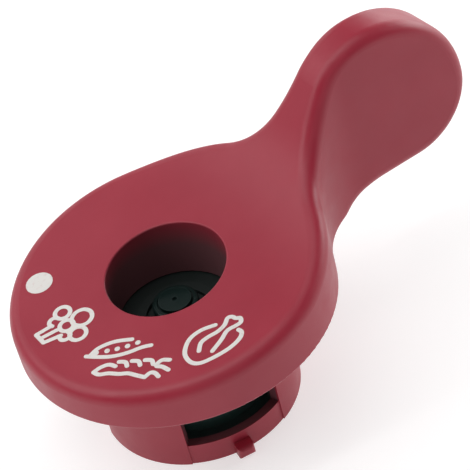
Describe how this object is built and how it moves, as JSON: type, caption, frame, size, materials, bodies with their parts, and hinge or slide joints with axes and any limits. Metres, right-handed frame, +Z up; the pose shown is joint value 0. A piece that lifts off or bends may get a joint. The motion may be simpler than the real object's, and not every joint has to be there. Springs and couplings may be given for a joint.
{
  "type": "pressure cooker operating valve",
  "caption": "Red lever knob with an upright paddle, a central well and a round skirt with steam windows, turning on the valve core that sits on a lid's steam pipe.",
  "frame": {"origin": "mouth of the steam pipe socket, on the turning axis and level with the skirt's foot", "axes": "+Z up along the turning axis, +X from the axis towards the lever's paddle"},
  "size_m": [0.0821, 0.05, 0.0471],
  "materials": {
    "red_plastic": "satin moulded",
    "black_plastic": "satin moulded",
    "green_plastic": "glossy moulded",
    "white_plastic": "matt",
    "steel": "fine brushed",
    "brass": "turned",
    "rubber": "matt"
  },
  "bodies": {
    "core": {"core_housing": "black_plastic", "core_cover": "black_plastic", "click_spring": "steel", "valve_seat": "brass", "pipe_seal": "rubber", "drag_ring": "white_plastic", "stem_bush": "white_plastic"},
    "knob": {"lever_knob": "red_plastic", "skirt_collar": "red_plastic", "flange_screws": "steel", "cam_ring": "black_plastic", "retaining_ring": "steel"},
    "needle": {"needle_bell": "steel", "needle_tip": "brass", "needle_stem": "steel", "stem_clip": "steel", "needle_cap": "green_plastic", "spring_washer": "steel", "regulating_spring": "steel"},
    "follower": {"spring_follower": "black_plastic", "thrust_washer": "steel"}
  },
  "joints": [
    {"name": "knob_turn", "type": "hinge", "parent": "core", "child": "knob", "pos_m": [0, 0, 0.018], "axis": [0, 0, 1], "range_deg": [-121, 0], "deforming": ["click_spring"]},
    {"name": "follower_slide", "type": "slide", "parent": "core", "child": "follower", "axis": [0, 0, 1], "range_m": [-0.003, 0], "deforming": ["regulating_spring"]},
    {"name": "needle_lift", "type": "slide", "parent": "core", "child": "needle", "axis": [0, 0, 1], "range_m": [0, 0.0012], "stiffness_N_per_m": 150, "springref_m": -0.003, "deforming": ["regulating_spring"]}
  ],
  "couplings": [
    {"joint": "follower_slide", "follows": "knob_turn", "m_per_rad": 0.0014206}
  ]
}
